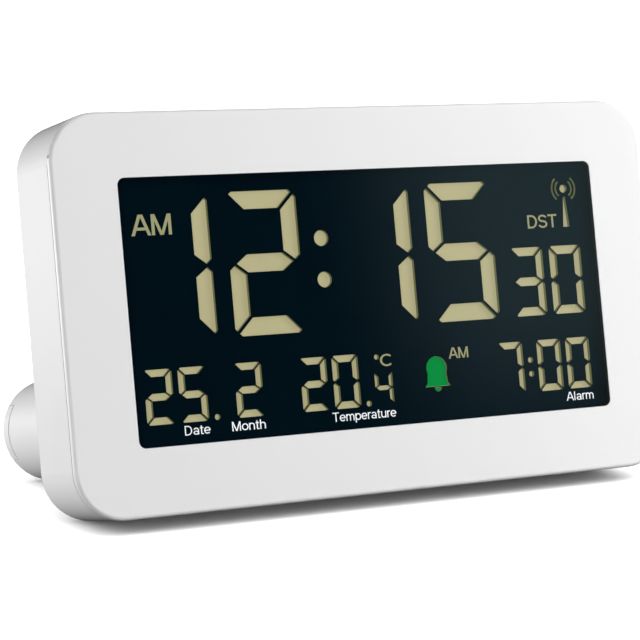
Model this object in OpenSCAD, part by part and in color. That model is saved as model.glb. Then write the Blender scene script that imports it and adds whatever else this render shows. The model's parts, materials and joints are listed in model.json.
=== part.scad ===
// Desk alarm clock set by radio: a leaning case with a wide display, propped by a battery pod at its back.
// Millimetres, +Z up. The origin is on the standing surface, under the middle of the footprint.
// Pieces are drawn in the face's own frame: x to the right, y up along the face, z into the case.

/* [Stance] */
// Angle that the face leans back from upright, in degrees
lean = 11; // [9:0.5:12.5]
// Height trimmed off the two lower edges to leave flat lands to stand on
land_cut = 0.1; // [0.05:0.05:0.2]

/* [Case] */
// Width of the case
case_w = 135; // [132:1:160]
// Height of the case along the face
case_h = 78.4; // [77:0.2:96]
// Depth of the case from its face to its back
case_d = 20; // [19.5:0.5:26]
// Radius of the case's four corners
corner_r = 10; // [7.5:0.5:10.5]
// Rounding of the front edge
edge_r = 0.8; // [0.3:0.1:0.9]
// Rounding of the back edge
back_r = 1.8; // [0.6:0.1:1.9]
// Thickness of the housing's walls
wall = 2; // [1.6:0.1:2.4]
// Depth of the seam between bezel and housing
seam_d = 1.25; // [1.2:0.05:1.6]
// Width of the open seams between the case's pieces
seam = 0.2; // [0.1:0.05:0.3]
// Thickness of the bezel's lip inside the housing
lip_t = 1.5; // [1.2:0.1:1.8]
// Reach of the lip past the seam
lip_reach = 3.6; // [2.5:0.1:5]

/* [Display] */
// Width of the bezel beside the window
side_border = 13.5; // [13:0.5:20]
// Height of the bezel above and below the window
end_border = 13.1; // [12:0.1:18]
// How far the window lies above the middle of the face
window_rise = 0.2; // [0:0.05:0.4]
// Corner radius of the window
window_r = 1.5; // [0.5:0.1:2.5]
// Thickness of the bezel in front of the lens's flange
window_lip = 0.75; // [0.6:0.05:0.9]
// How far the lens lies below the face
lens_recess = 0.15; // [0.05:0.05:0.3]
// Thickness of the lens's flange
flange_t = 0.6; // [0.4:0.1:1]
// How far the display glass reaches past the window on each side
lcd_margin = 1.5; // [1:0.1:2]
// Thickness of the dark display mask
mask_t = 0.8; // [0.4:0.1:1.2]
// Thickness of the reflector
reflector_t = 0.5; // [0.3:0.1:0.8]
// Thickness of the light guide
guide_t = 2.5; // [1.5:0.1:3]
// Width of the elastomer strips
elastomer_w = 1.6; // [1.2:0.1:2]
// Wall of the display holder
holder_wall = 1.4; // [1:0.1:1.8]
// Back plate of the display holder
holder_t = 1; // [0.8:0.1:1.4]

/* [Digits] */
// Height of the hour and minute digits
big_h = 28.65; // [26:0.05:30]
// Width of the hour and minute digits
big_w = 15.6; // [14:0.1:16.5]
// Stroke of the hour and minute digits
big_s = 3.6; // [2.6:0.1:3.8]
// Height of the seconds digits
mid_h = 14.4; // [12:0.1:16]
// Width of the seconds digits
mid_w = 7.9; // [7:0.1:8.2]
// Stroke of the seconds digits
mid_s = 1.8; // [1.3:0.1:2]
// Height of the digits in the lower row
low_h = 10.7; // [9:0.1:11.5]
// Width of the digits in the lower row
low_w = 5.9; // [5:0.1:6.4]
// Stroke of the digits in the lower row
low_s = 1.4; // [1:0.1:1.6]
// Height of the tenths digit
tiny_h = 6.5; // [5.5:0.1:7]
// Width of the tenths digit
tiny_w = 4.1; // [3.4:0.1:4.4]
// Stroke of the tenths digit
tiny_s = 0.9; // [0.7:0.1:1.1]

/* [Snooze bar] */
// Depth of the bar's front seam behind the face
snooze_d = 0.45; // [0.4:0.05:0.5]
// Thickness of the bar, inwards from the case's outline
snooze_t = 1; // [0.9:0.05:1.2]
// Travel of the bar when pressed
snooze_travel = 0.4; // [0.3:0.05:0.5]
// How far above each upper corner's lower end the bar stops
snooze_stop = 2; // [0:0.1:3]
// Distance of each arm from the middle
arm_x = 30; // [15:1:40]
// Width of an arm
arm_w = 4; // [3:0.5:6]

/* [Set buttons] */
// Radius of a button
button_r = 3.4; // [2.6:0.1:4]
// Distance of the last button from the case's right edge
row_end = 27.5; // [24:0.5:30]
// Height of the row of buttons above the middle of the case
button_v = 16; // [13:0.5:17]
// How far a button stands out of the back
button_proud = 0.8; // [0.8:0.1:1.4]
// Travel of a button
button_travel = 0.7; // [0.4:0.05:0.75]

/* [Alarm slider] */
// Length of the slider's knob
knob_w = 4.5; // [3.5:0.5:6]
// Height of the slider's knob
knob_h = 3; // [2.5:0.1:4]
// Travel of the slider
knob_travel = 3; // [2:0.5:3.5]

/* [Battery pod] */
// Outer radius of the pod's round ends
pod_r = 10.75; // [10.3:0.05:11.2]
// Height of the pod's middle above the case's bottom edge
pod_rise = 18.6; // [17.8:0.1:20]
// Thickness of the pod's walls
pod_wall = 2; // [1.7:0.1:2.2]
// Rounding of the pod's end
pod_edge = 0.8; // [0.4:0.1:1]
// Rounding where the pod joins the back
pod_root = 1; // [0.5:0.1:1.2]
// Length of a cell
cell_len = 50.5; // [49.5:0.1:50.5]
// Radius of a cell
cell_r = 7.25; // [6.8:0.05:7.25]
// Length of the compressed battery spring
spring_len = 5.5; // [4.5:0.1:6.5]
// Thickness of the battery door
door_t = 2.1; // [1.8:0.1:2.4]
// Thickness of the pod's rim around the door
rim_t = 1.2; // [1:0.1:1.4]
// Half angle of the door's end grips
wing_angle = 33; // [24:1:40]
// Width of the gap in front of the door's end grips
grip_gap = 0.6; // [0.3:0.1:0.9]
// Depth of the door's end grips
grip_t = 3.8; // [2.6:0.1:4.4]

/* [Electronics] */
// Thickness of the main board
board_t = 1.6; // [1:0.1:1.6]
// Room between the display holder's plate and the main board
board_gap = 1.65; // [1:0.05:2]
// Radius of the ferrite rod
rod_r = 4; // [3:0.1:4.2]
// Length of the ferrite rod
rod_len = 60; // [54:1:80]
// Radius of the antenna coil
coil_r = 5.8; // [5:0.1:6]
// Length of the antenna coil
coil_len = 22; // [16:1:30]
// Radius of the buzzer
buzzer_r = 6.5; // [5:0.1:6.8]
// Height of the buzzer
buzzer_h = 5.4; // [4:0.1:6]

/* [Fasteners] */
// Shank radius of a case screw
screw_r = 1.2; // [1:0.1:1.3]
// Head radius of a case screw
screw_head_r = 2.2; // [1.9:0.1:2.3]
// Shank radius of a board screw
board_screw_r = 0.85; // [0.7:0.05:0.95]
// Head radius of a board screw
board_head_r = 1.9; // [1.5:0.1:2]

/* [Hidden] */
$fn = 64;

// Clearances: loose fits, running fits, stacked faces and a bore beyond the screw in it
fit = 0.15;
slip = 0.1;
stack = 0.05;
bite = 0.05;
// Overlap that joins the parts of one solid, and overshoot of a cut
weld = 0.3;
past = 1;

// Depths from the face, front to back
plate_edge = snooze_d - seam / 2;
plate_back = seam_d - seam / 2;
house_front = seam_d + seam / 2;
flange_front = window_lip + stack;
mask_front = flange_front + flange_t + stack;
mask_back = mask_front + mask_t;
guide_front = mask_back + reflector_t + stack;
holder_front = guide_front + guide_t + stack;
board_front = holder_front + holder_t + board_gap;
board_back = board_front + board_t;
lip_back = seam_d + lip_reach;
house_in = case_d - wall;

// Window, and the scale of the display's layout, which is drawn for a window of art_w by art_h
window_w = case_w - 2 * side_border;
window_h = case_h - 2 * end_border;
art_w = 108;
art_h = 52;
art = min(window_w / art_w, window_h / art_h);

// Outlines, as half widths and half heights from the middle of the face
lip_off = wall + fit;
lip_in = lip_off + lip_t;
lcd_x = window_w / 2 + lcd_margin;
lcd_y = window_h / 2 + lcd_margin;
guide_x = window_w / 2 + 0.3;
guide_y = window_h / 2 - 0.7;
holder_x = lcd_x + slip + holder_wall;
holder_y = lcd_y + slip + holder_wall;

// Fixing points
boss_r = 2.8;
tower_r = 4;
boss_in = lip_in + boss_r + 1.25;
boss_x = case_w / 2 - boss_in;
boss_y = case_h / 2 - boss_in;
boss_back = board_front + 1;
tower_front = boss_back + slip;
tower_floor = 2;
head_h = 1.7;
screw_tip = plate_back + 1.5;
post_r = 2.3;
post_x = holder_x + 0.4 + post_r;
post_y = 18;
board_head_h = 1.3;

// Main board: a wide middle, and a taller part between the case screws
board_x = post_x + post_r;
board_y = 22;
board_tall_x = holder_x - 3;
board_tall_y = holder_y - 0.5;

// Switches on the main board
switch_w = 6;
switch_h = 3.5;
actuator_r = 1.7;
actuator_h = 0.9;
press_gap = 0.1;

// Snooze bar
bar_front = snooze_d + seam / 2;
bar_back = seam_d - seam / 2;
bar_low = case_h / 2 - corner_r + snooze_stop;
rim_top = bar_low - snooze_travel - seam;
bar_room = snooze_t + snooze_travel + slip;
arm_top = case_h / 2 - lip_in - fit;
arm_t = 1.8;
side_h = 3.5;
side_top = board_tall_y - 0.3;
side_actuator = 0.4;
pad_foot = side_top + side_actuator + snooze_travel + press_gap;
pad_front = board_back + 0.8;
pad_back = pad_front + 2;

// Set buttons and the alarm slider share one row
button_count = 5;
button_pitch = (case_w - 2 * row_end) / button_count;
slider_gap = 4;
flange_r = button_r + 1.2;
flange_h = 1;
stem_r = 1.6;
stem_end = board_back + switch_h + actuator_h + button_travel + press_gap;
knob_x = case_w / 2 - row_end - button_count * button_pitch - slider_gap;
knob_edge = 0.5;
slot_w = knob_w + knob_travel + 2 * slip;
plate_w = slot_w + knob_travel + 1;
peg_w = 1.5;
peg_dip = 1.5;

// Battery pod: the flat run between its round ends holds two cells in line
end_wall = 1.5;
contact_t = 0.4;
bay_x = (2 * cell_len + spring_len + contact_t + 2 * stack + slip) / 2;
pod_end_room = 7.05;
pod_w = 2 * (bay_x + pod_end_room);
pod_y = -case_h / 2 + pod_rise;
pod_c = pod_w / 2 - pod_r;
bay_r = pod_r - pod_wall;
low_z = (back_r - case_h / 2) * cos(lean) - (case_d - back_r) * sin(lean) - back_r;
pod_low = (pod_y - pod_r + pod_edge) * cos(lean) - pod_edge;
pod_end = pod_edge + (pod_low - low_z) / sin(lean);
cell_gap = 0.35;
cell_z = pod_end - door_t - cell_gap - cell_r;
tray_back = cell_z - cell_r - cell_gap;
tray_t = 1.6;
tray_front = tray_back - tray_t;
tongue_len = 3;
tongue_w = 12;
tongue_t = 1;
tongue_x = 25;
door_step = pod_end - door_t;
bay_wall_back = door_step - tongue_len - 0.2;
rib_t = 1.2;
tab_w = 3;
lead_r = 0.65;
lead_x = bay_x + end_wall + 1.6;
cell_x = -bay_x + spring_len;

// Antenna in the hollow of the pod
rod_z = (house_in + tray_front) / 2;
cradle_x = rod_len / 2 - 6;
cradle_w = 4;
cradle_h = 2 * rod_r + 3;
receiver_y = pod_y + 3.6;
receiver_lift = 1.5;
receiver_t = 1;
antenna_lead_r = 0.4;
antenna_lead_x = 5;

// Buzzer behind the back wall's sound holes
buzzer_y = 2;
buzzer_wall = 1.2;
sound_r = 0.6;
sound_ring = 3;

// Place of the finished clock on the surface that it stands on
stand_z = -(low_z + land_cut);
front_y = edge_r * cos(lean) + (edge_r - case_h / 2) * sin(lean) - edge_r;
rear_y = (pod_end - pod_edge) * cos(lean) + (pod_y + pod_r - pod_edge) * sin(lean) + pod_edge;
stand_y = -(front_y + rear_y) / 2;

module stand() translate([0, stand_y, stand_z]) rotate([-lean, 0, 0]) mirror([0, 1, 0])
    rotate([90, 0, 0]) children();

module behind_window() stand() translate([0, window_rise, 0]) children();

module slab(z0, z1) translate([0, 0, z0]) linear_extrude(z1 - z0) children();

module box(x, y, z) translate([x[0], y[0], z[0]]) cube([x[1] - x[0], y[1] - y[0], z[1] - z[0]]);

module peg(x, y, z0, z1, r) translate([x, y, z0]) cylinder(h = z1 - z0, r = r);

module four(x, y) for (i = [-1, 1], j = [-1, 1]) translate([i * x, j * y, 0]) children();

// Rectangle with round corners; with r at half the height it is a stadium
module rounded(w, h, r) {
    square([w - 2 * r, h], center = true);
    if (h > 2 * r + 0.01) square([w, h - 2 * r], center = true);
    for (i = [-1, 1], j = [-1, 1]) translate([i * (w / 2 - r), j * (h / 2 - r)]) circle(r);
}

module case_outline(inset) rounded(case_w - 2 * inset, case_h - 2 * inset, corner_r - inset);

module pod_outline(inset) translate([0, pod_y])
    rounded(pod_w - 2 * inset, 2 * (pod_r - inset), pod_r - inset);

// Carries a profile round a rounded rectangle: profile x points outwards from the outline, y is depth
module side_run(w, h, r) if (h > 2 * r + 0.01)
    translate([w / 2, h / 2 - r, 0]) rotate([90, 0, 0]) linear_extrude(h - 2 * r) children();

module corner_run(w, h, r) translate([w / 2 - r, h / 2 - r, 0]) rotate_extrude(angle = 90)
    translate([r, 0]) children();

module around(w, h, r) for (turn = [0, 180]) {
    rotate(turn) side_run(w, h, r) children();
    rotate(turn) corner_run(w, h, r) children();
    rotate(turn + 90) side_run(h, w, r) children();
    rotate(turn + 90) corner_run(h, w, r) children();
}

module quarter(f) intersection() {
    circle(f);
    square(f);
}

// Prism from z0 to z1 whose far edge is rounded
module round_prism(w, h, r, z0, z1, f) {
    slab(z0, z1 - f) rounded(w, h, r);
    slab(z0, z1) rounded(w - 2 * f, h - 2 * f, r - f);
    around(w, h, r) translate([-f, z1 - f]) quarter(f);
}

// Front bezel: the face with its window, a rim with a groove for the snooze bar, a lip and bosses behind it
module face_plate() difference() {
    translate([0, 0, plate_back]) mirror([0, 0, 1])
        round_prism(case_w, case_h, corner_r, 0, plate_back, edge_r);
    slab(plate_edge, plate_back + past) difference() {
        translate([-case_w, rim_top]) square([2 * case_w, case_h]);
        case_outline(bar_room);
    }
}

module bezel_lip() slab(plate_back - weld, lip_back) difference() {
    case_outline(lip_off);
    case_outline(lip_in);
}

module arm_slots() for (i = [-1, 1]) box([i * arm_x - arm_w / 2 - fit, i * arm_x + arm_w / 2 + fit],
    [arm_top - arm_t - snooze_travel - fit, case_h / 2 - bar_room + slip], [plate_edge, lip_back + past]);

module front_bezel() color("white") stand() difference() {
    union() {
        face_plate();
        bezel_lip();
        four(boss_x, boss_y) peg(0, 0, plate_back - weld, boss_back, boss_r);
        four(post_x, post_y) peg(0, 0, plate_back - weld, board_front - stack, post_r);
    }
    translate([0, window_rise, 0]) {
        slab(-past, plate_back + past) rounded(window_w, window_h, window_r);
        slab(window_lip, plate_back + past) rounded(2 * (lcd_x + slip), 2 * (lcd_y + slip), window_r);
    }
    arm_slots();
    four(boss_x, boss_y) peg(0, 0, screw_tip - weld, boss_back + past, screw_r + bite);
    four(post_x, post_y) peg(0, 0, screw_tip - weld, board_front + past, board_screw_r + bite);
}

module display_lens() color("lightgray", 0.4) behind_window() {
    slab(lens_recess, flange_front + weld)
        rounded(window_w - 2 * slip, window_h - 2 * slip, window_r - slip);
    slab(flange_front, flange_front + flange_t) rounded(2 * lcd_x, 2 * lcd_y, window_r);
}

// Seven-segment digits. Every share is of the stroke: the gap between segments, the nick at an outer corner,
// the tips and the shoulders where segments meet halfway up
seg_gap = 0.12;
seg_nick = 0.15;
seg_tip = 0.3;
seg_rise = 0.09;
seg_shoulder = 0.36;
seg_point = 0.43;
seg_in = 1.08;
lit = ["abcdef", "bc", "abdeg", "abcdg", "bcfg", "acdfg", "acdefg", "abc", "abcdefg", "abcdfg"];

function top_bar(w, h, s) = let (g = seg_gap * s, n = seg_nick * s) [[g + n, h - n], [g + 2 * n, h],
    [w - g - 2 * n, h], [w - g - n, h - n], [w - g - s, h - s], [g + s, h - s]];

function right_bar(w, h, s) = let (g = seg_gap * s, n = seg_nick * s, m = h / 2) [[w - n, h - g - n],
    [w, h - g - 2 * n], [w, m + seg_shoulder * s], [w - seg_tip * s, m + seg_rise * s],
    [w - s, m + s / 2 + g], [w - s, h - s - g]];

function middle_bar(w, h, s) = let (p = seg_point * s, i = seg_in * s, m = h / 2) [[p, m], [i, m + s / 2],
    [w - i, m + s / 2], [w - p, m], [w - i, m - s / 2], [i, m - s / 2]];

function flip_x(points, w) = [for (p = points) [w - p[0], p[1]]];

function flip_y(points, h) = [for (p = points) [p[0], h - p[1]]];

function segment(letter, w, h, s) =
    letter == "a" ? top_bar(w, h, s) :
    letter == "b" ? right_bar(w, h, s) :
    letter == "c" ? flip_y(right_bar(w, h, s), h) :
    letter == "d" ? flip_y(top_bar(w, h, s), h) :
    letter == "e" ? flip_x(flip_y(right_bar(w, h, s), h), w) :
    letter == "f" ? flip_x(right_bar(w, h, s), w) : middle_bar(w, h, s);

module digit(n, size) for (letter = lit[n]) polygon(segment(letter, size[0], size[1], size[2]));

// A row of digits, from its right edge and its middle height
module readout(digits, right, middle, size, pitch) for (i = [0:len(digits) - 1])
    translate([right - size[0] - (len(digits) - 1 - i) * pitch, middle - size[1] / 2]) digit(digits[i], size);

big = [big_w, big_h, big_s];
mid = [mid_w, mid_h, mid_s];
low = [low_w, low_h, low_s];
tiny = [tiny_w, tiny_h, tiny_s];
big_y = 8.4;
mid_y = 1.3;
low_y = -16.45;
tiny_y = -18.3;
big_pitch = 19.4;
mid_pitch = 9.55;
low_pitch = 7.15;
hour_right = -15.5;
minute_right = 29.6;
second_right = 50.8;
date_right = -38.3;
month_right = -26.25;
degree_right = -4.7;
tenth_right = 2.9;
ring_right = 34.25;

module time_readouts() {
    readout([1, 2], hour_right, big_y, big, big_pitch);
    readout([1, 5], minute_right, big_y, big, big_pitch);
    readout([3, 0], second_right, mid_y, mid, mid_pitch);
}

module lower_readouts() {
    readout([2, 5], date_right, low_y, low, low_pitch);
    readout([2], month_right, low_y, low, low_pitch);
    readout([2, 0], degree_right, low_y, low, low_pitch);
    readout([4], tenth_right, tiny_y, tiny, low_pitch);
    readout([7], ring_right, low_y, low, low_pitch);
    readout([0, 0], second_right, low_y, low, low_pitch);
}

// Dots: colons, decimal points and the degree dot, as x, y and radius
dots = [[-10.5, 12.65, 1.6], [-10.5, 4.3, 1.6], [36, -15.1, 0.62], [36, -18, 0.62],
    [-36.5, -21.25, 0.6], [-2.9, -21.25, 0.6], [-0.35, -12, 0.55]];

// Reception symbol: a ball on a mast between two pairs of arcs
mast_x = 47.9;
mast_top = 18.8;
mast_foot = 12.4;
ball_y = 20.5;
ball_r = 0.88;
wave_r = [1.75, 2.65];
wave_t = 0.42;
wave_angle = 50;

module wave(r) intersection() {
    difference() {
        circle(r + wave_t);
        circle(r);
    }
    polygon([[0, 0], [4 * cos(wave_angle), 4 * sin(wave_angle)], [4, 0],
        [4 * cos(wave_angle), -4 * sin(wave_angle)]]);
}

module reception_symbol() translate([mast_x, 0]) {
    translate([0, ball_y]) circle(ball_r);
    polygon([[-0.25, mast_top], [0.25, mast_top], [0.8, mast_foot], [-0.8, mast_foot]]);
    for (r = wave_r, turn = [0, 180]) translate([0, ball_y]) rotate(turn) wave(r);
}

// Alarm bell, shrunk all round by a clearance when it is drawn for the film that fills its opening
bell_x = 13.35;
bell_r = 2.42;
bell_top = -15.2;
bell_foot = -18.15;
bell_flare = 0.55;
bell_brim = 0.8;
clapper_r = 0.85;

module bell(c) translate([bell_x, 0]) {
    foot = bell_foot - bell_brim + c;
    translate([0, bell_top]) circle(bell_r - c);
    polygon([[0.3 - bell_r, bell_top], [c - bell_r, bell_foot], [c - bell_r - bell_flare, foot],
        [bell_r + bell_flare - c, foot], [bell_r - c, bell_foot], [bell_r - 0.3, bell_top]]);
}

module clapper(c) translate([bell_x, bell_foot - bell_brim - 0.2]) intersection() {
    circle(clapper_r - c);
    translate([-2, -2 - c]) square([4, 2]);
}

module lcd_mask() color([0.03, 0.05, 0.07]) behind_window() slab(mask_front, mask_back) difference() {
    rounded(2 * lcd_x, 2 * lcd_y, window_r);
    scale(art) {
        time_readouts();
        lower_readouts();
        for (d = dots) translate([d[0], d[1]]) circle(d[2]);
        reception_symbol();
        bell(0);
        clapper(0);
    }
}

module lcd_reflector() color([0.75, 0.71, 0.55]) behind_window()
    slab(mask_back, mask_back + reflector_t) square([2 * guide_x, 2 * guide_y], center = true);

module alarm_symbol() color([0.05, 0.6, 0.27]) behind_window()
    slab(mask_back - mask_t / 2, mask_back) scale(art) {
        bell(stack);
        clapper(stack);
    }

module light_guide() color("whitesmoke", 0.6) behind_window()
    slab(guide_front, guide_front + guide_t) square([2 * guide_x, 2 * guide_y], center = true);

// Lights at both ends of the light guide
led_t = 0.8;
led_w = 3;
led_gap = 14;

module backlight_leds() color("ivory") behind_window() for (i = [-1, 1], k = [-1:1])
    translate([i * (guide_x + stack + led_t / 2), k * led_gap, guide_front + guide_t / 2])
    cube([led_t, led_w, guide_t - 0.8], center = true);

elastomer_y = guide_y + slip + stack;
elastomer_x = window_w / 2 - 4;

module elastomer_slots(c) for (j = [-1, 1]) translate([0, j * (elastomer_y + elastomer_w / 2)])
    square([2 * (elastomer_x + c), elastomer_w + 2 * c], center = true);

module lcd_holder() color("gainsboro") behind_window() {
    slab(plate_back + stack, board_front - stack) difference() {
        square([2 * holder_x, 2 * holder_y], center = true);
        square([2 * (lcd_x + slip), 2 * (lcd_y + slip)], center = true);
    }
    slab(holder_front, holder_front + holder_t) difference() {
        square([2 * (lcd_x + slip + weld), 2 * (lcd_y + slip + weld)], center = true);
        elastomer_slots(stack);
    }
}

module elastomer_strips() color("lightpink") behind_window()
    slab(mask_back + stack, board_front - stack) elastomer_slots(0);

// Main board
module board_outline() {
    square([2 * board_x, 2 * board_y], center = true);
    square([2 * board_tall_x, 2 * board_tall_y], center = true);
}

module main_board() color("darkgreen") stand() slab(board_front, board_back) difference() {
    board_outline();
    four(post_x, post_y) circle(board_screw_r + fit);
}

// Pieces on the main board, set out from its middle
chip_x = -28;
parts_y = -4;
chip_w = 12;
chip_lift = 0.2;
chip_t = 1.4;
leg_w = 0.5;
leg_pitch = 1.2;
leg_len = 1.2;
leg_t = 0.6;
crystal_x = -16;
crystal_r = 1.05;
crystal_len = 6;
wire_gap = 0.8;
wire_len = 1.6;
thin_wire_r = 0.2;
capacitor_r = 2.5;
capacitor_h = 5.5;
capacitor_x = 22;
capacitor_gap = 7;
receiver_w = 24;
receiver_h = 11;
header_pitch = 2.54;
header_w = 0.6;
header_y = 4;
receiver_chip = [6, 5, 1.2];
receiver_chip_x = -6;
sensor_x = -50;
sensor_y = -12;
sensor_r = 1.3;
sensor_h = 4;

module controller_chip() color("black") stand() translate([chip_x, parts_y, board_back]) {
    translate([-chip_w / 2, -chip_w / 2, chip_lift]) cube([chip_w, chip_w, chip_t]);
    for (turn = [0:90:270], k = [-4:4]) rotate(turn)
        translate([chip_w / 2 - weld, k * leg_pitch - leg_w / 2, 0]) cube([leg_len, leg_w, leg_t]);
}

module quartz_crystal() color("silver") stand()
    translate([crystal_x, parts_y - crystal_len / 2, board_back + crystal_r]) {
        rotate([-90, 0, 0]) cylinder(h = crystal_len, r = crystal_r);
        for (i = [-1, 1]) translate([i * wire_gap / 2, weld, 0]) rotate([90, 0, 0])
            cylinder(h = wire_len + weld, r = thin_wire_r);
    }

module capacitors() color("midnightblue") stand() for (k = [0, 1])
    peg(capacitor_x + k * capacitor_gap, parts_y, board_back, board_back + capacitor_h, capacitor_r);

module receiver_board() color("seagreen") stand() translate([0, receiver_y, board_back]) {
    translate([-receiver_w / 2, -receiver_h / 2, receiver_lift]) cube([receiver_w, receiver_h, receiver_t]);
    for (k = [-4:4]) translate([k * header_pitch - header_w / 2, header_y, 0])
        cube([header_w, header_w, receiver_lift + weld]);
    translate([receiver_chip_x - receiver_chip[0] / 2, -receiver_chip[1] / 2, 0])
        translate([0, 0, receiver_lift + receiver_t - weld]) cube(receiver_chip + [0, 0, weld]);
}

// Antenna in the pod's hollow
module along_x(x0, x1, y, z, r) translate([x0, y, z]) rotate([0, 90, 0]) cylinder(h = x1 - x0, r = r);

module antenna_rod() color("dimgray") stand() along_x(-rod_len / 2, rod_len / 2, pod_y, rod_z, rod_r);

module antenna_coil() color("peru") stand() difference() {
    along_x(-coil_len / 2, coil_len / 2, pod_y, rod_z, coil_r);
    along_x(-coil_len / 2 - past, coil_len / 2 + past, pod_y, rod_z, rod_r + stack);
}

module antenna_leads() color("peru") stand() for (i = [-1, 1]) peg(i * antenna_lead_x, pod_y,
    board_back + receiver_lift + receiver_t + stack, rod_z - coil_r - stack, antenna_lead_r);

module buzzer() color("black") stand() difference() {
    peg(0, buzzer_y, house_in - slip - buzzer_h, house_in - slip, buzzer_r);
    peg(0, buzzer_y, house_in - slip - 1, house_in, 1.2);
}

// Switches
button_xs = [for (k = [1:button_count]) case_w / 2 - row_end - (button_count - k) * button_pitch];

module button_switches() color("black") stand() for (x = button_xs) {
    translate([x, button_v, board_back + switch_h / 2]) cube([switch_w, switch_w, switch_h], center = true);
    peg(x, button_v, board_back + switch_h - weld, board_back + switch_h + actuator_h, actuator_r);
}

module snooze_switches() color("black") stand() for (i = [-1, 1]) {
    box([i * arm_x - switch_w / 2, i * arm_x + switch_w / 2], [side_top - side_h, side_top],
        [board_back, board_back + side_h]);
    box([i * arm_x - 1.5, i * arm_x + 1.5], [side_top - weld, side_top + side_actuator],
        [board_back + 0.9, board_back + side_h - 0.9]);
}

module alarm_switch() color("black") stand() difference() {
    translate([knob_x + knob_travel / 2, button_v, board_back + switch_h / 2])
        cube([plate_w - 1, 4.4, switch_h], center = true);
    box([knob_x - peg_w / 2 - fit, knob_x + knob_travel + peg_w / 2 + fit],
        [button_v - peg_w / 2 - fit, button_v + peg_w / 2 + fit],
        [board_back + switch_h - peg_dip - fit, board_back + switch_h + past]);
}

module temperature_sensor() color("saddlebrown") stand() translate([sensor_x, sensor_y, board_back]) {
    translate([0, 0, sensor_h]) sphere(sensor_r);
    for (i = [-1, 1]) peg(i * sensor_r / 2, 0, 0, sensor_h, thin_wire_r);
}

// Rear housing: a case open at the front, with the battery pod moulded onto its back
module pod_solid() translate([0, pod_y, 0]) {
    round_prism(pod_w, 2 * pod_r, pod_r, case_d - weld, pod_end, pod_edge);
    around(pod_w, 2 * pod_r, pod_r) translate([-weld, case_d - weld]) difference() {
        square(pod_root + weld);
        translate([pod_root + weld, pod_root + weld]) circle(pod_root);
    }
}

module shell() difference() {
    union() {
        round_prism(case_w, case_h, corner_r, house_front, case_d, back_r);
        pod_solid();
    }
    slab(house_front - past, house_in) case_outline(wall);
    slab(house_in - past, tray_front) pod_outline(pod_wall);
    slab(tray_back, pod_end + past) pod_outline(pod_wall);
    slab(door_step - slip, pod_end + past) pod_outline(rim_t);
}

module bay_slice(x0, x1, z0, z1) slab(z0, z1) intersection() {
    pod_outline(pod_wall - weld);
    translate([x0, pod_y - pod_r]) square([x1 - x0, 2 * pod_r]);
}

// Cradles for the cells, walls at the ends of the bay and clips for the ferrite rod
module pod_fittings() {
    for (x = [-3, -1, 1, 3]) difference() {
        bay_slice(x * cell_len / 4 - rib_t / 2, x * cell_len / 4 + rib_t / 2, tray_back - weld, cell_z);
        along_x(-pod_w, pod_w, pod_y, cell_z, cell_r + fit);
    }
    for (i = [-1, 1]) difference() {
        bay_slice(min(i * bay_x, i * (bay_x + end_wall)), max(i * bay_x, i * (bay_x + end_wall)),
            tray_back - weld, bay_wall_back);
        translate([i * bay_x, pod_y, cell_z])
            cube([4 * end_wall, tab_w + 2 * fit, contact_t + 2 * fit], center = true);
    }
    for (i = [-1, 1]) difference() {
        box([i * cradle_x - cradle_w / 2, i * cradle_x + cradle_w / 2],
            [pod_y - cradle_h / 2, pod_y + cradle_h / 2], [rod_z - rod_r / 3, tray_front + weld]);
        along_x(-pod_w, pod_w, pod_y, rod_z, rod_r + stack);
    }
}

// A sector of a ring about the middle of one round end of the pod, on the left or right
module end_sector(side, half, r0, r1, z0, z1) translate([side * pod_c, pod_y, 0])
    rotate((side < 0 ? 180 : 0) - half) rotate_extrude(angle = 2 * half)
    translate([r0, z0]) square([r1 - r0, z1 - z0]);

module back_openings() {
    for (x = button_xs) peg(x, button_v, house_in - past, case_d + past, button_r + slip);
    box([knob_x + knob_travel / 2 - slot_w / 2, knob_x + knob_travel / 2 + slot_w / 2],
        [button_v - knob_h / 2 - slip, button_v + knob_h / 2 + slip], [house_in - past, case_d + past]);
    for (a = [0:60:300]) peg(sound_ring * cos(a), buzzer_y + sound_ring * sin(a),
        house_in - past, case_d + past, sound_r);
    peg(0, buzzer_y, house_in - past, case_d + past, sound_r);
    four(boss_x, boss_y) peg(0, 0, tower_front + tower_floor, case_d + past, screw_head_r + fit);
    four(boss_x, boss_y) peg(0, 0, tower_front - past, case_d, screw_r + fit);
    for (i = [-1, 1]) peg(i * lead_x, pod_y, tray_front - past, tray_back + past, lead_r + fit);
    for (i = [-1, 1]) end_sector(i, wing_angle, pod_r - rim_t - seam, pod_r + past,
        pod_end - grip_t - grip_gap, pod_end + past);
}

module rear_housing() color("white") difference() {
    stand() difference() {
        union() {
            shell();
            pod_fittings();
            four(boss_x, boss_y) peg(0, 0, tower_front, house_in + weld, tower_r);
            difference() {
                peg(0, buzzer_y, house_in - 3, house_in + weld, buzzer_r + fit + buzzer_wall);
                peg(0, buzzer_y, house_in - 3 - past, house_in, buzzer_r + fit);
            }
        }
        back_openings();
    }
    translate([-case_w, -case_w, -case_h]) cube([2 * case_w, 2 * case_w, case_h]);
}

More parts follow.
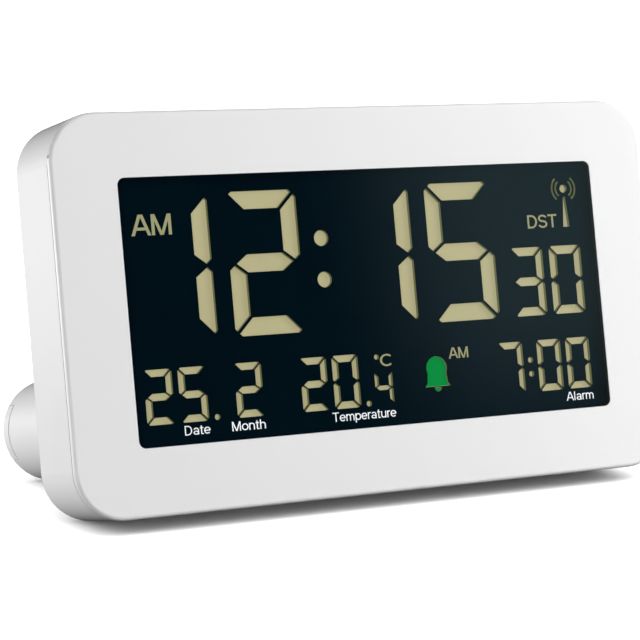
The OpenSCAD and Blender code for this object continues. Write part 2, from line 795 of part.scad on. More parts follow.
// Battery door: a plate inside the pod's rim, with four tongues and a lipped grip at each end
module battery_door() color("white") stand() {
    slab(door_step, pod_end) pod_outline(rim_t + seam);
    half = wing_angle - seam / pod_r * 180 / PI;
    for (i = [-1, 1]) intersection() {
        union() {
            end_sector(i, half, pod_r - rim_t - seam - weld, pod_r, door_step, pod_end);
            end_sector(i, half, pod_r - rim_t, pod_r, pod_end - grip_t, door_step + weld);
        }
        translate([0, pod_y, 0]) round_prism(pod_w, 2 * pod_r, pod_r, case_d, pod_end, pod_edge);
    }
    for (i = [-1, 1], j = [-1, 1]) translate([i * tongue_x - tongue_w / 2, 0, door_step - tongue_len])
        translate([0, pod_y + j * (bay_r - fit - tongue_t / 2) - tongue_t / 2, 0])
        cube([tongue_w, tongue_t, tongue_len + weld]);
}

// A cell lying along x, its nub towards +x
nub_r = 2.75;
nub_len = 1;

module cell(x) {
    along_x(x + stack, x + cell_len - nub_len, pod_y, cell_z, cell_r);
    along_x(x + cell_len - nub_len - weld, x + cell_len - stack, pod_y, cell_z, nub_r);
}

module battery_cell_left() color("steelblue") stand() cell(cell_x);

module battery_cell_right() color("steelblue") stand() cell(cell_x + cell_len);

// Contacts: a plate on the bay's end wall with a tab through it, and on one side a cone of wire
plate_half = 5;
plate_front = 6;
plate_rear = 4;

module contact_plate(side) {
    outer = side * (bay_x - stack);
    inner = side * (bay_x - stack - contact_t);
    box([min(outer, inner), max(outer, inner)], [pod_y - plate_half, pod_y + plate_half],
        [cell_z - plate_front, cell_z + plate_rear]);
    tab_end = side * (lead_x + lead_r);
    box([min(inner, tab_end), max(inner, tab_end)], [pod_y - tab_w / 2, pod_y + tab_w / 2],
        [cell_z - contact_t / 2, cell_z + contact_t / 2]);
}

turns = 4;
turn_rings = 10;
wire_sides = 6;
wire_r = 0.35;
cone_r0 = 5;
cone_r1 = 2.6;
cone_len = spring_len - contact_t - 2 * stack - 1.5 * wire_r;
cone_rings = turns * turn_rings;

function cone_at(t) = let (r = cone_r0 + (cone_r1 - cone_r0) * t, a = 360 * turns * t)
    [-bay_x + stack + contact_t + wire_r / 2 + cone_len * t, pod_y + r * cos(a), cell_z + r * sin(a)];

function ring_point(t, k) = let (a = 360 * turns * t, b = 360 * k / wire_sides)
    cone_at(t) + wire_r * [sin(b), cos(b) * cos(a), cos(b) * sin(a)];

cone_points = [for (i = [0:cone_rings], k = [0:wire_sides - 1]) ring_point(i / cone_rings, k)];
cone_sides = [for (i = [0:cone_rings - 1], k = [0:wire_sides - 1])
    let (n = (k + 1) % wire_sides, a = i * wire_sides)
    each [[a + k, a + n, a + wire_sides + k], [a + n, a + wire_sides + n, a + wire_sides + k]]];
cone_ends = [for (k = [1:wire_sides - 2]) each [[0, k + 1, k],
    [cone_rings * wire_sides, cone_rings * wire_sides + k, cone_rings * wire_sides + k + 1]]];

module battery_spring() color("silver") stand() {
    contact_plate(-1);
    polyhedron(cone_points, concat(cone_sides, cone_ends));
}

module battery_contact() color("silver") stand() contact_plate(1);

module battery_leads() color("firebrick") stand() for (i = [-1, 1])
    peg(i * lead_x, pod_y, board_back + stack, cell_z - contact_t / 2 - stack, lead_r);

// Screws, with a cross recess in each head
module screw(r, head_r, z_tip, z_seat, head) difference() {
    union() {
        peg(0, 0, z_tip, z_seat + weld, r);
        peg(0, 0, z_seat, z_seat + head, head_r);
    }
    for (turn = [0, 90]) translate([0, 0, z_seat + head]) rotate(turn)
        cube([head_r * 1.3, 0.5, 1.4], center = true);
}

module case_screws() color("silver") stand() four(boss_x, boss_y)
    screw(screw_r, screw_head_r, screw_tip, tower_front + tower_floor + stack, head_h);

module board_screws() color("silver") stand() four(post_x, post_y)
    screw(board_screw_r, board_head_r, screw_tip, board_back + stack, board_head_h);

// Snooze bar: a strip of the rim along the top and round both upper corners, with two arms to the switches
module strip_profile() difference() {
    translate([-snooze_t, bar_front]) square([snooze_t, bar_back - bar_front]);
    difference() {
        translate([-edge_r, -past]) square([edge_r + past, edge_r + past]);
        translate([-edge_r, edge_r]) circle(edge_r);
    }
}

module snooze_bar() color("white") stand() {
    difference() {
        union() {
            rotate(90) side_run(case_h, case_w, corner_r) strip_profile();
            rotate(90) corner_run(case_h, case_w, corner_r) strip_profile();
            corner_run(case_w, case_h, corner_r) strip_profile();
        }
        box([-case_w, case_w], [0, bar_low], [0, case_d]);
    }
    for (i = [-1, 1]) {
        x = [i * arm_x - arm_w / 2, i * arm_x + arm_w / 2];
        box(x, [arm_top - arm_t, case_h / 2 - snooze_t + weld], [bar_front, bar_back]);
        box(x, [arm_top - arm_t, arm_top], [bar_front, pad_back]);
        box(x, [pad_foot, arm_top], [pad_front, pad_back]);
    }
}

// Set buttons: a rounded cap through the back wall, a flange that holds it in and a stem to its switch
button_edge = 0.6;

module set_button(k) stand() translate([button_xs[k], button_v, 0]) {
    tall = flange_h + slip + wall + button_proud;
    translate([0, 0, house_in - slip - flange_h]) rotate_extrude() {
        square([button_r, tall - button_edge]);
        square([button_r - button_edge, tall]);
        translate([button_r - button_edge, tall - button_edge]) circle(button_edge);
        square([flange_r, flange_h]);
    }
    peg(0, 0, stem_end, house_in - slip - flange_h + weld, stem_r);
}

module time_button() color("gainsboro") set_button(0);

module alarm_button() color("gainsboro") set_button(1);

module up_button() color("gainsboro") set_button(2);

module down_button() color("gainsboro") set_button(3);

module receive_button() color("gainsboro") set_button(4);

module alarm_slider() color("gainsboro") stand() translate([knob_x, button_v, 0]) {
    seat = house_in - slip;
    top = case_d + button_proud;
    slab(seat - flange_h / 2, top - knob_edge) square([knob_w, knob_h], center = true);
    slab(seat - flange_h / 2, top) square([knob_w - 2 * knob_edge, knob_h - 2 * knob_edge], center = true);
    slab(seat - flange_h, seat) square([plate_w, knob_h + 2.5], center = true);
    slab(board_back + switch_h - peg_dip, seat - flange_h / 2) square(peg_w, center = true);
}

front_bezel();
display_lens();
lcd_mask();
lcd_reflector();
alarm_symbol();
light_guide();
backlight_leds();
lcd_holder();
elastomer_strips();
main_board();
controller_chip();
quartz_crystal();
capacitors();
receiver_board();
antenna_rod();
antenna_coil();
antenna_leads();
buzzer();
button_switches();
snooze_switches();
alarm_switch();
temperature_sensor();
rear_housing();
battery_cell_left();
battery_cell_right();
battery_spring();
battery_contact();
battery_leads();
case_screws();
board_screws();
snooze_bar();
time_button();
alarm_button();
up_button();
down_button();
receive_button();
alarm_slider();
battery_door();
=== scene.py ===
import bmesh
import bpy
import json
import math
import numpy as np
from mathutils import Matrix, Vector

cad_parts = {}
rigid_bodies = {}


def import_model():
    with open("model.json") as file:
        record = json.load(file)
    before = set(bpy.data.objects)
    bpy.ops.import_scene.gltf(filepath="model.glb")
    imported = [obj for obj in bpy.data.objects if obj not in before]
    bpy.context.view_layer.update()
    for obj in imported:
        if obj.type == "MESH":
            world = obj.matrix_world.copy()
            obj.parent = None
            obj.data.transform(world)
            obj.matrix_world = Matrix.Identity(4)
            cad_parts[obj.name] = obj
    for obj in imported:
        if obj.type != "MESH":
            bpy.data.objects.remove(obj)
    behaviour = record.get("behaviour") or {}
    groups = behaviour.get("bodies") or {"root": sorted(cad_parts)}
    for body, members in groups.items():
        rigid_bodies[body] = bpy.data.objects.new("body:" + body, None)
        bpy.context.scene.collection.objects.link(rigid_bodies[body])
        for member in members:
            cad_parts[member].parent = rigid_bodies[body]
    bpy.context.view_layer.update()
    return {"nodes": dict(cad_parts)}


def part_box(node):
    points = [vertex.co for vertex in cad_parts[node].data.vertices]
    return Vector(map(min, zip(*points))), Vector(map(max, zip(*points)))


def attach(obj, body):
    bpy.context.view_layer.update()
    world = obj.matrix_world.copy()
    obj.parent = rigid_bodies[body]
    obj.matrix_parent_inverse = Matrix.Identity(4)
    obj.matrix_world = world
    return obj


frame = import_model()
nodes = frame["nodes"]
print("frame loaded:", len(nodes), "nodes")

mm = 0.001  # metres

# The clock's face, in mm: depths run from its front into the case
face = {
    "lean": 11.0,  # degrees from upright
    "maskFront": 1.45,  # depth of the display mask's front
    "maskBack": 2.25,  # and of its back
    "back": 20.0,  # depth of the case's back
    "doorBack": 59.48,  # and of the battery door's outer side
    "window": (108.0, 52.2, 1.5),  # width, height and corner radius of the window
    "case": (135.0, 78.4, 10.0),  # and of the case
    "rise": 0.2,  # how far the window's middle lies above the case's
}
lean = math.radians(face["lean"])
across = np.array([1.0, 0.0, 0.0])
upFace = np.array([0.0, math.sin(lean), math.cos(lean)])
inward = np.array([0.0, math.cos(lean), -math.sin(lean)])
maskMiddle = (face["maskFront"] + face["maskBack"]) / 2
maskLow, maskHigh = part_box("lcd_mask")
faceCentre = np.array((maskLow + maskHigh) / 2) - inward * maskMiddle * mm


# Point of the model: face centre plus x across, v up the face and d inward, all in mm
def fromFace(x, v, d):
    x, v, d = (np.asarray(k, float)[..., None] for k in (x, v, d))
    return faceCentre + (x * across + v * upFace + d * inward) * mm


# One socket of a shader tree. Its operators add Math nodes, and node() adds any other kind
class Wire:
    def __init__(self, tree, out):
        self.tree = tree
        self.out = out

    def node(self, kind, settings, sockets, out=0):
        made = self.tree.nodes.new("ShaderNode" + kind)
        for key, value in settings.items():
            setattr(made, key, value)
        for key, value in sockets.items():
            if isinstance(value, Wire):
                self.tree.links.new(value.out, made.inputs[key])
            else:
                made.inputs[key].default_value = value
        return Wire(self.tree, made.outputs[out])

    def math(self, operation, first, second):
        return self.node("Math", {"operation": operation}, {0: first, 1: second})

    def __add__(self, other):
        return self.math("ADD", self, other)

    def __radd__(self, other):
        return self.math("ADD", other, self)

    def __sub__(self, other):
        return self.math("SUBTRACT", self, other)

    def __rsub__(self, other):
        return self.math("SUBTRACT", other, self)

    def __mul__(self, other):
        return self.math("MULTIPLY", self, other)

    def __rmul__(self, other):
        return self.math("MULTIPLY", other, self)

    def __pow__(self, other):
        return self.math("POWER", self, other)

    def noise(self, scale, detail=2.0):
        return self.node("TexNoise", {}, {"Vector": self, "Scale": scale, "Detail": detail})

    def dot(self, direction):
        sockets = {0: self, 1: tuple(direction)}
        return self.node("VectorMath", {"operation": "DOT_PRODUCT"}, sockets, "Value")

    def between(self, low, high):
        return self.node("MapRange", {"interpolation_type": "SMOOTHSTEP"}, {0: self, 1: low, 2: high})

    def mix(self, first, second):
        return self.node("Mix", {"data_type": "RGBA"}, {0: self, 6: first, 7: second}, 2)

    def vary(self, colour, drift):  # from a little darker to a little lighter
        return self.mix(shade(colour, 1 - drift), shade(colour, 1 + drift))

    def bump(self, strength, distance):
        return self.node("Bump", {}, {"Height": self, "Strength": strength, "Distance": distance})

    def feed(self, shader, name):
        self.tree.links.new(self.out, shader.inputs[name])


def rgba(r, g, b):
    return (r, g, b, 1.0)


def shade(colour, factor):
    return tuple(min(1.0, k * factor) for k in colour[:3]) + (1.0,)


# New material with its shader's even values set, and Object coordinates to start from
def newMaterial(name, even):
    made = bpy.data.materials.new(name)
    made.use_nodes = True
    tree = made.node_tree
    shader = tree.nodes["Principled BSDF"]
    for key, value in even.items():
        shader.inputs[key].default_value = value
    place = Wire(tree, tree.nodes.new("ShaderNodeTexCoord").outputs["Object"])
    return made, shader, place


print("making materials")

# Moulded plastic: cloudy tone, uneven sheen and a fine spark-eroded grain
mouldLook = {
    "cloudScale": 28.0, "cloudDetail": 3.0,
    "sheenScale": 160.0, "sheenSpread": 0.1,
    "grainSize": 0.00035, "grainDepth": 0.00002,  # metres
}
plasticLooks = {
    "caseWhite": {"colour": rgba(0.8, 0.8, 0.8), "rough": 0.42, "drift": 0.008, "grain": 0.05},
    "buttonGrey": {"colour": rgba(0.46, 0.47, 0.48), "rough": 0.45, "grain": 0.1},
    # the next two are the black of the strips that paint shade in the gaps round the lens and round the rim
    "gapShadeBlack": {"colour": rgba(0.012, 0.014, 0.015), "rough": 0.7, "grain": 0.3},
    "rimGapShadeBlack": {"colour": rgba(0.01, 0.01, 0.01), "rough": 0.8, "grain": 0.3},
    "inkGrey": {"colour": rgba(0.2, 0.205, 0.21), "rough": 0.6, "drift": 0.05, "grain": 0.1},
    "guideClear": {"colour": rgba(0.85, 0.87, 0.85), "rough": 0.2, "alpha": 0.6},
    "ledWhite": {"colour": rgba(0.8, 0.76, 0.55), "rough": 0.3},
    "holderGrey": {"colour": rgba(0.5, 0.5, 0.5), "rough": 0.5},
    "elastomer": {"colour": rgba(0.5, 0.32, 0.33), "rough": 0.7, "grain": 0.3},
    "chipBlack": {"colour": rgba(0.018, 0.018, 0.02), "rough": 0.55, "grain": 0.3},
    "capacitorSleeve": {"colour": rgba(0.02, 0.03, 0.1), "rough": 0.35},
    "ferriteGrey": {"colour": rgba(0.045, 0.045, 0.05), "rough": 0.7, "drift": 0.2, "grain": 0.5},
    "sensorBead": {"colour": rgba(0.16, 0.05, 0.015), "rough": 0.25},
    "leadRed": {"colour": rgba(0.35, 0.02, 0.015), "rough": 0.4},
}


def mouldedPlastic(name, colour, rough, drift=0.02, grain=0.12, alpha=1.0):
    made, shader, place = newMaterial(name, {"Alpha": alpha})
    cloud = place.noise(mouldLook["cloudScale"], mouldLook["cloudDetail"])
    cloud.vary(colour, drift).feed(shader, "Base Color")
    spread = mouldLook["sheenSpread"]
    (rough - spread / 2 + spread * place.noise(mouldLook["sheenScale"])).feed(shader, "Roughness")
    place.noise(1 / mouldLook["grainSize"]).bump(grain, mouldLook["grainDepth"]).feed(shader, "Normal")
    return made


# Film behind the openings, pale, with the faint cloud of a diffuser, that glows by its own emission as
# painted light
filmCloud = {"scale": 45.0, "detail": 3.0, "drift": 0.1, "glowDrift": 0.05, "rough": 0.6}
filmLooks = {
    # films that glow as painted light: the display's backing, the alarm symbol, the lit words, and the white
    # captions, which are real print with a painted glow
    "displayPaintedGlow": {"colour": rgba(0.445, 0.414, 0.236), "glow": 0.82},
    "symbolGreenPaintedGlow": {"colour": rgba(0.0005, 0.238, 0.042), "glow": 0.8},
    "wordPaintedGlow": {"colour": rgba(0.32, 0.316, 0.171), "glow": 0.8},
    "printWhiteAndPaintedGlow": {"colour": rgba(0.88, 0.9, 0.92), "glow": 0.6, "base": 0.6},
}


def paintedGlowFilm(name, colour, glow, base=0.35):
    even = {"Roughness": filmCloud["rough"], "Specular IOR Level": 0.0, "Emission Strength": glow}
    made, shader, place = newMaterial(name, even)
    cloud = place.noise(filmCloud["scale"], filmCloud["detail"])
    cloud.vary(shade(colour, base), filmCloud["drift"]).feed(shader, "Base Color")
    # painted glow: emission in the film's own colour
    cloud.vary(colour, filmCloud["glowDrift"]).feed(shader, "Emission Color")
    return made


# Clear lens: open, and its outer sides mirror a little seen straight on and more at a slant
lensLook = {
    "tint": rgba(1, 1, 1), "mirror": 0.066, "slantPower": 5.0,
    "rough": 0.064, "smear": 0.032, "smearScale": 90.0,
}


def clearLens():
    made, shader, place = newMaterial("clearLens", {})
    tree = made.node_tree
    tree.nodes.remove(shader)
    slant = place.node("LayerWeight", {}, {}, "Facing")
    outer = 1 - place.node("NewGeometry", {}, {}, "Backfacing")
    mirror = outer * (lensLook["mirror"] + (1 - lensLook["mirror"]) * slant ** lensLook["slantPower"])
    smear = lensLook["rough"] + lensLook["smear"] * place.noise(lensLook["smearScale"])
    clear = place.node("BsdfTransparent", {}, {"Color": lensLook["tint"]})
    gloss = place.node("BsdfGlossy", {}, {"Color": rgba(1, 1, 1), "Roughness": smear})
    both = place.node("MixShader", {}, {0: mirror, 1: clear, 2: gloss})
    both.feed(tree.nodes["Material Output"], "Surface")
    return made


# Display mask: deep navy on its front, with painted shade turning it black towards its sides, and olive
# painted shade with a painted glow on the walls of its openings
maskLook = {
    "front": rgba(0.0008, 0.0063, 0.011), "drift": 0.15, "toneScale": 70.0,
    # painted shade: a black band along the window's left and right sides
    "side": rgba(0.003, 0.004, 0.005), "sideShadeWidth": 0.4,  # mm
    # painted shade and painted glow: the olive on the openings' walls stands in for the shade on the backing
    # behind them, and part of it glows
    "wall": rgba(0.13, 0.135, 0.062), "wallShare": 0.9, "glow": 0.6,
    "facing": (0.4, 0.8),  # cosines between which a wall turns into the front
    "rough": 0.35,
}


def displayMask():
    even = {"Roughness": maskLook["rough"], "Specular IOR Level": 0.0, "Emission Strength": maskLook["glow"]}
    made, shader, place = newMaterial("displayMask", even)
    facing = place.node("NewGeometry", {}, {}, "Normal").dot(-inward).between(*maskLook["facing"])
    navy = place.noise(maskLook["toneScale"]).vary(maskLook["front"], maskLook["drift"])
    halfWidth = face["window"][0] / 2
    # painted shade darkening the mask to black near the window's left and right sides
    aside = place.math("ABSOLUTE", place.dot(across), 0.0)
    sideShade = aside.between((halfWidth - maskLook["sideShadeWidth"]) * mm, halfWidth * mm)
    front = sideShade.mix(navy, maskLook["side"])
    # the openings' walls take the olive painted shade and glow in it as painted light
    facing.mix(maskLook["wall"], front).feed(shader, "Base Color")
    glow = shade(maskLook["wall"], maskLook["wallShare"])
    facing.mix(glow, rgba(0, 0, 0)).feed(shader, "Emission Color")
    return made


# Plated metal: brushed streaks along x and dull spots
platedLook = {
    "colour": rgba(0.62, 0.61, 0.58), "dark": 0.82, "bright": 1.1,
    "streakScale": (60.0, 2500.0, 2500.0), "streakDetail": 3.0, "streakBump": 0.1, "streakDepth": 0.00002,
    "rough": 0.22, "spotRough": 0.2, "spotScale": 350.0,
}


def platedSteel():
    made, shader, place = newMaterial("platedSteel", {"Metallic": 1.0})
    stretched = place.node("Mapping", {}, {"Vector": place, "Scale": platedLook["streakScale"]})
    streak = stretched.noise(1.0, platedLook["streakDetail"])
    dark = shade(platedLook["colour"], platedLook["dark"])
    bright = shade(platedLook["colour"], platedLook["bright"])
    streak.mix(dark, bright).feed(shader, "Base Color")
    spots = place.noise(platedLook["spotScale"])
    (platedLook["rough"] + platedLook["spotRough"] * spots).feed(shader, "Roughness")
    streak.bump(platedLook["streakBump"], platedLook["streakDepth"]).feed(shader, "Normal")
    return made


# Laminate board: blocks of green lacquer in two tones between copper runs, with uneven sheen
boardLook = {
    "lacquer": rgba(0.012, 0.12, 0.045), "second": 0.75, "run": rgba(0.03, 0.22, 0.08),
    "scale": 260.0, "runWidth": 0.06, "offset": 0.3,
    "rough": 0.3, "sheenSpread": 0.15, "sheenScale": 300.0,
}


def boardGreen():
    made, shader, place = newMaterial("boardGreen", {})
    sockets = {
        "Vector": place, "Scale": boardLook["scale"], "Mortar Size": boardLook["runWidth"],
        "Color1": boardLook["lacquer"], "Color2": shade(boardLook["lacquer"], boardLook["second"]),
        "Mortar": boardLook["run"],
    }
    runs = place.node("TexBrick", {"offset": boardLook["offset"]}, sockets, "Color")
    runs.feed(shader, "Base Color")
    sheen = place.noise(boardLook["sheenScale"])
    (boardLook["rough"] + boardLook["sheenSpread"] * sheen).feed(shader, "Roughness")
    return made


# Wire wound on a bobbin: ridges across the coil's length, with painted shade between turns and a painted
# highlight on the turns' crowns
coilLook = {
    # dark and bright: painted shade between turns and painted highlight on the crowns
    "colour": rgba(0.45, 0.17, 0.06), "dark": 0.45, "bright": 1.15, "metal": 0.6, "rough": 0.4,
    "pitch": 0.0006, "ridgeBump": 0.8, "ridgeDepth": 0.0002,
}


def coilCopper():
    even = {"Metallic": coilLook["metal"], "Roughness": coilLook["rough"]}
    made, shader, place = newMaterial("coilCopper", even)
    ridgeAndShade = place.math("PINGPONG", place.dot(across) * (2 / coilLook["pitch"]), 1.0)
    dark = shade(coilLook["colour"], coilLook["dark"])
    bright = shade(coilLook["colour"], coilLook["bright"])
    # painted shade and painted highlight following the ridges
    ridgeAndShade.mix(dark, bright).feed(shader, "Base Color")
    ridgeAndShade.bump(coilLook["ridgeBump"], coilLook["ridgeDepth"]).feed(shader, "Normal")
    return made


# Wrapped cell: a scuffed dark sleeve with a metal band at its positive end
cellLook = {
    "sleeve": rgba(0.03, 0.035, 0.045), "drift": 0.15, "scuffScale": 400.0, "scuffDetail": 3.0,
    "band": rgba(0.55, 0.33, 0.16), "bandLength": 0.014, "bandFade": 0.0004, "bandMetal": 0.8,
    "rough": 0.22, "scuffRough": 0.2,
}


def cellWrap(node):
    made, shader, place = newMaterial(node + "Wrap", {})
    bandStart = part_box(node)[1].x - cellLook["bandLength"]
    scuff = place.noise(cellLook["scuffScale"], cellLook["scuffDetail"])
    sleeve = scuff.vary(cellLook["sleeve"], cellLook["drift"])
    wrap = place.dot(across).between(bandStart, bandStart + cellLook["bandFade"])
    wrap.mix(sleeve, cellLook["band"]).feed(shader, "Base Color")
    (cellLook["bandMetal"] * wrap).feed(shader, "Metallic")
    (cellLook["rough"] + cellLook["scuffRough"] * scuff).feed(shader, "Roughness")
    return made


finishes = {name: mouldedPlastic(name, **look) for name, look in plasticLooks.items()}
finishes |= {name: paintedGlowFilm(name, **look) for name, look in filmLooks.items()}
finishes |= {
    "clearLens": clearLens(), "displayMask": displayMask(), "platedSteel": platedSteel(),
    "boardGreen": boardGreen(), "coilCopper": coilCopper(),
}
wornBy = {  # finish and the nodes that have it
    "caseWhite": ("front_bezel", "rear_housing", "battery_door", "snooze_bar"),
    "buttonGrey": (
        "time_button", "alarm_button", "up_button", "down_button", "receive_button", "alarm_slider",
    ),
    "clearLens": ("display_lens",),
    "displayMask": ("lcd_mask",),
    "displayPaintedGlow": ("lcd_reflector",),
    "symbolGreenPaintedGlow": ("alarm_symbol",),
    "guideClear": ("light_guide",),
    "ledWhite": ("backlight_leds",),
    "holderGrey": ("lcd_holder",),
    "elastomer": ("elastomer_strips",),
    "boardGreen": ("main_board", "receiver_board"),
    "chipBlack": ("controller_chip", "buzzer", "button_switches", "snooze_switches", "alarm_switch"),
    "platedSteel": ("quartz_crystal", "battery_spring", "battery_contact", "case_screws", "board_screws"),
    "capacitorSleeve": ("capacitors",),
    "ferriteGrey": ("antenna_rod",),
    "coilCopper": ("antenna_coil", "antenna_leads"),
    "sensorBead": ("temperature_sensor",),
    "leadRed": ("battery_leads",),
}
dressed = {node: finishes[finish] for finish, names in wornBy.items() for node in names}
dressed |= {node: cellWrap(node) for node in ("battery_cell_left", "battery_cell_right")}
for node, finish in dressed.items():
    nodes[node].data.materials.clear()
    nodes[node].data.materials.append(finish)
print("nodes dressed:", len(dressed))


# Surface carried along a flat path: each path point plus a section point's first value along that place's
# outward direction, with the section's second value as height. An open path gets a cap at each end
def carry(path, outward, section, closed):
    flat = path[:, None, :] + outward[:, None, :] * section[None, :, :1]
    high = np.broadcast_to(section[:, 1], flat.shape[:2])
    index = np.arange(high.size).reshape(high.shape)
    along = np.vstack([index, index[:1]]) if closed else index
    beside = np.roll(along, -1, axis=1)
    quads = np.stack([along[:-1], along[1:], beside[1:], beside[:-1]], -1).reshape(-1, 4)
    caps = index[:0] if closed else index[[0, -1]]
    return flat.reshape(-1, 2), high.ravel(), (quads, caps)


# Piece made of several shells, each given as points in metres and two arrays of faces
def putMesh(name, shells, finish, body):
    points = np.concatenate([shellPoints for shellPoints, shellFaces in shells])
    faces = []
    count = 0
    for shellPoints, shellFaces in shells:
        for block in shellFaces:
            faces += (block + count).tolist()
        count += len(shellPoints)
    mesh = bpy.data.meshes.new(name)
    mesh.from_pydata(points.tolist(), [], faces)
    shape = bmesh.new()
    shape.from_mesh(mesh)
    bmesh.ops.recalc_face_normals(shape, faces=shape.faces)
    shape.to_mesh(mesh)
    shape.free()
    mesh.materials.append(finish)
    made = bpy.data.objects.new(name, mesh)
    bpy.context.scene.collection.objects.link(made)
    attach(made, body)


strokeLook = {
    "bendStep": 12, "bendLeast": 6,  # degrees between a bend's points, and its fewest points
    "smallHeight": 0.73,  # height of small letters, with the cap height as 1
    "sideGap": 0.1,  # place of a word's first stem, and the room after its last stroke
}


# A stroke is a path, the direction of its width, and half that width, with the cap height as 1.
# Straight bar between two points, cut level at both ends
def bar(x0, y0, x1, y1, half):
    return np.array([[x0, y0], [x1, y1]]), np.array([[1.0, 0.0]] * 2), half


# Level bar from x0 to x1: a short upright bar that is as wide as the level one is long
def flatBar(x0, x1, y, half):
    middle = (x0 + x1) / 2
    return bar(middle, y - half, middle, y + half, (x1 - x0) / 2)


# Band about a part of an ellipse: its middle plus its radii times cosine and sine, over a turn in degrees
def bend(x, y, rx, ry, start, end, half):
    steps = max(strokeLook["bendLeast"], int(abs(end - start) / strokeLook["bendStep"]))
    turn = np.radians(np.linspace(start, end, steps))
    outward = np.stack([np.cos(turn), np.sin(turn)], -1)
    return np.array([x, y]) + outward * np.array([rx, ry]), outward, half


# Strokes and advance of each letter, for half a stroke h
def letterStrokes(letter, h):
    t = strokeLook["smallHeight"]
    low = t / 2  # middle of a round small letter
    high = low - h  # and its upright radius
    spring = 0.44  # where an arch starts
    arch = t - h - spring  # and how far it rises
    bowl = 0.29  # where the bowl of u starts
    stem = bar(0.1, 0, 0.1, 1, h)
    shortStem = bar(0.1, 0, 0.1, t, h)
    hoop = bend(0.325, spring, 0.225, arch, 0, 180, h)
    leg = bar(0.55, 0, 0.55, 0.45, h)
    shapes = {
        "A": ([bar(0.07, 0, 0.4, 1, 1.06 * h), bar(0.79, 0, 0.46, 1, 1.06 * h),
               flatBar(0.2, 0.66, 0.32, h)], 0.86),
        "C": ([bend(0.45, 0.5, 0.39, 0.5 - h, 45, 315, h)], 0.84),
        "D": ([stem, flatBar(0.1, 0.36, 1 - h, h), flatBar(0.1, 0.36, h, h),
               bend(0.35, 0.5, 0.36, 0.5 - h, -90, 90, h)], 0.85),
        "F": ([stem, flatBar(0.1, 0.62, 1 - h, h), flatBar(0.1, 0.54, 0.5, h)], 0.68),
        "M": ([stem, bar(0.84, 0, 0.84, 1, h), bar(0.13, 1, 0.46, 0, h), bar(0.81, 1, 0.48, 0, h)], 0.98),
        "N": ([stem, bar(0.7, 0, 0.7, 1, h), bar(0.13, 1, 0.67, 0, 1.1 * h)], 0.83),
        "O": ([bend(0.46, 0.5, 0.39, 0.5 - h, 0, 360, h)], 0.94),
        "S": ([bend(0.37, 0.755 - h / 2, 0.27, 0.245 - h / 2, 15, 270, h),
               bend(0.37, 0.255 + h / 2, 0.29, 0.255 - h / 2, 90, -165, h)], 0.76),
        "T": ([bar(0.38, 0, 0.38, 1, h), flatBar(0.03, 0.73, 1 - h, h)], 0.78),
        "a": ([bar(0.54, 0, 0.54, 0.46, h), bend(0.32, 0.45, 0.22, t - h - 0.45, 0, 155, h),
               bend(0.31, 0.21, 0.22, 0.21 - h, 0, 360, h)], 0.67),
        "e": ([bend(0.34, low, 0.27, high, 0, 318, h), flatBar(0.08, 0.62, low, h)], 0.69),
        "h": ([stem, hoop, leg], 0.67),
        "l": ([stem], 0.26),
        "m": ([shortStem, bend(0.295, spring, 0.195, arch, 0, 180, h), bar(0.49, 0, 0.49, 0.45, h),
               bend(0.685, spring, 0.195, arch, 0, 180, h), bar(0.88, 0, 0.88, 0.45, h)], 1.0),
        "n": ([shortStem, hoop, leg], 0.67),
        "o": ([bend(0.34, low, 0.27, high, 0, 360, h)], 0.69),
        "p": ([bar(0.1, -0.27, 0.1, t, h), bend(0.36, low, 0.26, high, 0, 360, h)], 0.7),
        "r": ([shortStem, bend(0.32, spring, 0.22, arch, 75, 180, h)], 0.4),
        "t": ([bar(0.18, 0.05, 0.18, 0.92, h), flatBar(0.02, 0.38, t - h, h),
               flatBar(0.16, 0.38, h, h)], 0.42),
        "u": ([bar(0.55, 0, 0.55, t, h), bend(0.325, bowl, 0.225, bowl - h, 180, 360, h),
               bar(0.1, 0.28, 0.1, t, h)], 0.67),
    }
    return shapes[letter]


# Shells of a set of strokes: each flat point goes to its place on the face, at a depth less its height
def strokeShells(strokes, toFace, depth, thick):
    shells = []
    for path, outward, half in strokes:
        section = np.array([[-half, 0.0], [half, 0.0], [half, thick], [-half, thick]])
        flat, high, faces = carry(path, outward, section, False)
        x, v = toFace(flat[:, 0], flat[:, 1])
        shells.append((fromFace(x, v, depth - high), faces))
    return shells


# A word: letters side by side, stretched across from left to right and up from the foot by the cap height
def wordShells(word, left, right, foot, cap, half, depth, thick):
    strokes = []
    pen = 0.0
    for letter in word:
        made, advance = letterStrokes(letter, half)
        strokes += [(path + np.array([pen, 0.0]), outward, wide) for path, outward, wide in made]
        pen += advance
    start = strokeLook["sideGap"] - half
    end = pen - strokeLook["sideGap"]

    def toFace(u, w):
        return left + (u - start) * (right - left) / (end - start), foot + w * cap

    return strokeShells(strokes, toFace, depth, thick)


